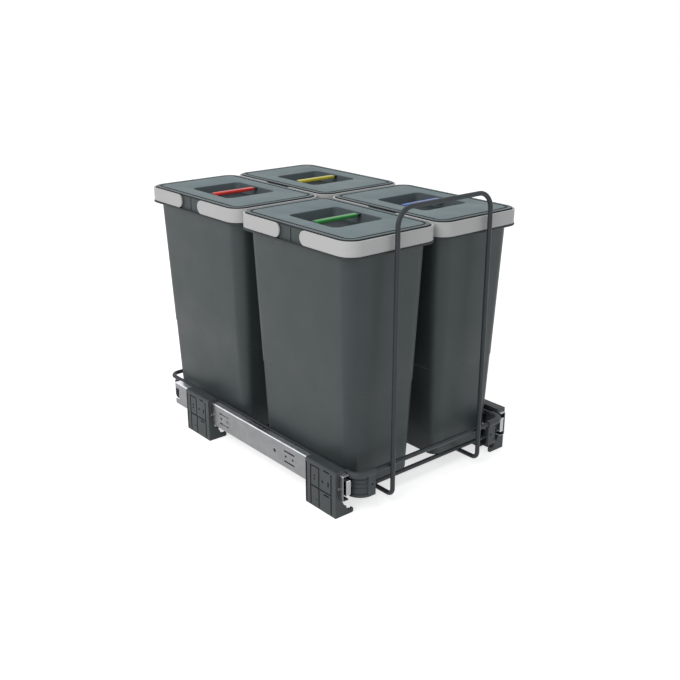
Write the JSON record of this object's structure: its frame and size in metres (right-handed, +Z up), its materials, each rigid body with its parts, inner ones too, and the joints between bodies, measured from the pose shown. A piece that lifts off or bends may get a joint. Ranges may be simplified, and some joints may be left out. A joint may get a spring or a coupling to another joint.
{
  "type": "pull-out waste unit",
  "caption": "Pull-out kitchen waste unit: lidded buckets with bail handles in a wire carriage on telescopic ball-bearing slides and floor brackets.",
  "frame": {"origin": "on the cabinet floor, in the middle of the unit's outline", "axes": "+X to the right seen from the front, +Y from the front to the back, +Z up"},
  "size_m": [0.356, 0.5212, 0.4401],
  "materials": {
    "bracket": "fine textured moulded plastic, dark grey",
    "screw": "bright zinc plated",
    "slide": "galvanised rolled steel, dull",
    "cage": "plain steel strip with polished balls",
    "wire": "dark grey powder coat",
    "block": "fine textured moulded plastic, dark grey",
    "bucket": "satin moulded polypropylene, slate grey",
    "lid": "satin moulded plastic, blue grey",
    "handle": "satin moulded plastic, light grey",
    "grip_green": "satin green plastic",
    "grip_blue": "satin blue plastic",
    "grip_red": "satin red plastic",
    "grip_yellow": "satin yellow plastic"
  },
  "bodies": {
    "slide_mounts": {"bracket_front_left": "bracket", "bracket_front_right": "bracket", "bracket_rear_left": "bracket", "bracket_rear_right": "bracket", "adjuster_screws": "screw", "slide_screws_left": "screw", "slide_screws_right": "screw", "slide_outer_left": "slide", "slide_outer_right": "slide"},
    "carriage": {"slide_inner_left": "slide", "slide_inner_right": "slide", "rail_left": "wire", "rail_right": "wire", "rail_rivets_left": "screw", "rail_rivets_right": "screw", "wire_loop": "wire", "front_hoop": "wire", "cross_wire_front": "wire", "cross_wire_middle_front": "wire", "cross_wire_middle_rear": "wire", "cross_wire_rear": "wire", "corner_block_left": "block", "corner_block_right": "block", "block_screws": "screw"},
    "middle_member_left": {"slide_middle_left": "slide"},
    "outer_cage_left": {"ball_cage_outer_left": "cage"},
    "inner_cage_left": {"ball_cage_inner_left": "cage"},
    "middle_member_right": {"slide_middle_right": "slide"},
    "outer_cage_right": {"ball_cage_outer_right": "cage"},
    "inner_cage_right": {"ball_cage_inner_right": "cage"},
    "bucket_body_front_left": {"bucket_front_left": "bucket"},
    "lid_body_front_left": {"lid_front_left": "lid", "grip_front_left": "grip_green"},
    "handle_body_a_front_left": {"handle_a_front_left": "handle"},
    "handle_body_b_front_left": {"handle_b_front_left": "handle"},
    "bucket_body_front_right": {"bucket_front_right": "bucket"},
    "lid_body_front_right": {"lid_front_right": "lid", "grip_front_right": "grip_blue"},
    "handle_body_a_front_right": {"handle_a_front_right": "handle"},
    "handle_body_b_front_right": {"handle_b_front_right": "handle"},
    "bucket_body_rear_left": {"bucket_rear_left": "bucket"},
    "lid_body_rear_left": {"lid_rear_left": "lid", "grip_rear_left": "grip_red"},
    "handle_body_a_rear_left": {"handle_a_rear_left": "handle"},
    "handle_body_b_rear_left": {"handle_b_rear_left": "handle"},
    "bucket_body_rear_right": {"bucket_rear_right": "bucket"},
    "lid_body_rear_right": {"lid_rear_right": "lid", "grip_rear_right": "grip_yellow"},
    "handle_body_a_rear_right": {"handle_a_rear_right": "handle"},
    "handle_body_b_rear_right": {"handle_b_rear_right": "handle"}
  },
  "joints": [
    {"name": "pull_out", "type": "slide", "parent": "slide_mounts", "child": "carriage", "axis": [0, -1, 0], "range_m": [0, 0.45]},
    {"name": "middle_member_left_run", "type": "slide", "parent": "slide_mounts", "child": "middle_member_left", "axis": [0, -1, 0], "range_m": [0, 0.225]},
    {"name": "outer_cage_left_run", "type": "slide", "parent": "slide_mounts", "child": "outer_cage_left", "axis": [0, -1, 0], "range_m": [0, 0.1125]},
    {"name": "inner_cage_left_run", "type": "slide", "parent": "slide_mounts", "child": "inner_cage_left", "axis": [0, -1, 0], "range_m": [0, 0.3375]},
    {"name": "middle_member_right_run", "type": "slide", "parent": "slide_mounts", "child": "middle_member_right", "axis": [0, -1, 0], "range_m": [0, 0.225]},
    {"name": "outer_cage_right_run", "type": "slide", "parent": "slide_mounts", "child": "outer_cage_right", "axis": [0, -1, 0], "range_m": [0, 0.1125]},
    {"name": "inner_cage_right_run", "type": "slide", "parent": "slide_mounts", "child": "inner_cage_right", "axis": [0, -1, 0], "range_m": [0, 0.3375]},
    {"name": "bucket_lift_front_left", "type": "slide", "parent": "carriage", "child": "bucket_body_front_left", "axis": [0, 0, 1], "range_m": [0, 0.42]},
    {"name": "lid_lift_front_left", "type": "slide", "parent": "bucket_body_front_left", "child": "lid_body_front_left", "axis": [0, 0, 1], "range_m": [0, 0.12]},
    {"name": "handle_swing_a_front_left", "type": "hinge", "parent": "bucket_body_front_left", "child": "handle_body_a_front_left", "pos_m": [-0.0848, -0.15718, 0.39015], "axis": [-1, 0, 0], "range_deg": [0, 90]},
    {"name": "handle_swing_b_front_left", "type": "hinge", "parent": "bucket_body_front_left", "child": "handle_body_b_front_left", "pos_m": [-0.0848, -0.09018, 0.39015], "axis": [1, 0, 0], "range_deg": [0, 90]},
    {"name": "bucket_lift_front_right", "type": "slide", "parent": "carriage", "child": "bucket_body_front_right", "axis": [0, 0, 1], "range_m": [0, 0.42]},
    {"name": "lid_lift_front_right", "type": "slide", "parent": "bucket_body_front_right", "child": "lid_body_front_right", "axis": [0, 0, 1], "range_m": [0, 0.12]},
    {"name": "handle_swing_a_front_right", "type": "hinge", "parent": "bucket_body_front_right", "child": "handle_body_a_front_right", "pos_m": [0.0848, -0.15718, 0.39015], "axis": [-1, 0, 0], "range_deg": [0, 90]},
    {"name": "handle_swing_b_front_right", "type": "hinge", "parent": "bucket_body_front_right", "child": "handle_body_b_front_right", "pos_m": [0.0848, -0.09018, 0.39015], "axis": [1, 0, 0], "range_deg": [0, 90]},
    {"name": "bucket_lift_rear_left", "type": "slide", "parent": "carriage", "child": "bucket_body_rear_left", "axis": [0, 0, 1], "range_m": [0, 0.42]},
    {"name": "lid_lift_rear_left", "type": "slide", "parent": "bucket_body_rear_left", "child": "lid_body_rear_left", "axis": [0, 0, 1], "range_m": [0, 0.12]},
    {"name": "handle_swing_a_rear_left", "type": "hinge", "parent": "bucket_body_rear_left", "child": "handle_body_a_rear_left", "pos_m": [-0.0848, 0.10032, 0.39015], "axis": [-1, 0, 0], "range_deg": [0, 90]},
    {"name": "handle_swing_b_rear_left", "type": "hinge", "parent": "bucket_body_rear_left", "child": "handle_body_b_rear_left", "pos_m": [-0.0848, 0.16733, 0.39015], "axis": [1, 0, 0], "range_deg": [0, 90]},
    {"name": "bucket_lift_rear_right", "type": "slide", "parent": "carriage", "child": "bucket_body_rear_right", "axis": [0, 0, 1], "range_m": [0, 0.42]},
    {"name": "lid_lift_rear_right", "type": "slide", "parent": "bucket_body_rear_right", "child": "lid_body_rear_right", "axis": [0, 0, 1], "range_m": [0, 0.12]},
    {"name": "handle_swing_a_rear_right", "type": "hinge", "parent": "bucket_body_rear_right", "child": "handle_body_a_rear_right", "pos_m": [0.0848, 0.10032, 0.39015], "axis": [-1, 0, 0], "range_deg": [0, 90]},
    {"name": "handle_swing_b_rear_right", "type": "hinge", "parent": "bucket_body_rear_right", "child": "handle_body_b_rear_right", "pos_m": [0.0848, 0.16733, 0.39015], "axis": [1, 0, 0], "range_deg": [0, 90]}
  ],
  "couplings": [
    {"joint": "middle_member_left_run", "follows": "pull_out", "ratio": 0.5},
    {"joint": "outer_cage_left_run", "follows": "pull_out", "ratio": 0.25},
    {"joint": "inner_cage_left_run", "follows": "pull_out", "ratio": 0.75},
    {"joint": "middle_member_right_run", "follows": "pull_out", "ratio": 0.5},
    {"joint": "outer_cage_right_run", "follows": "pull_out", "ratio": 0.25},
    {"joint": "inner_cage_right_run", "follows": "pull_out", "ratio": 0.75}
  ]
}
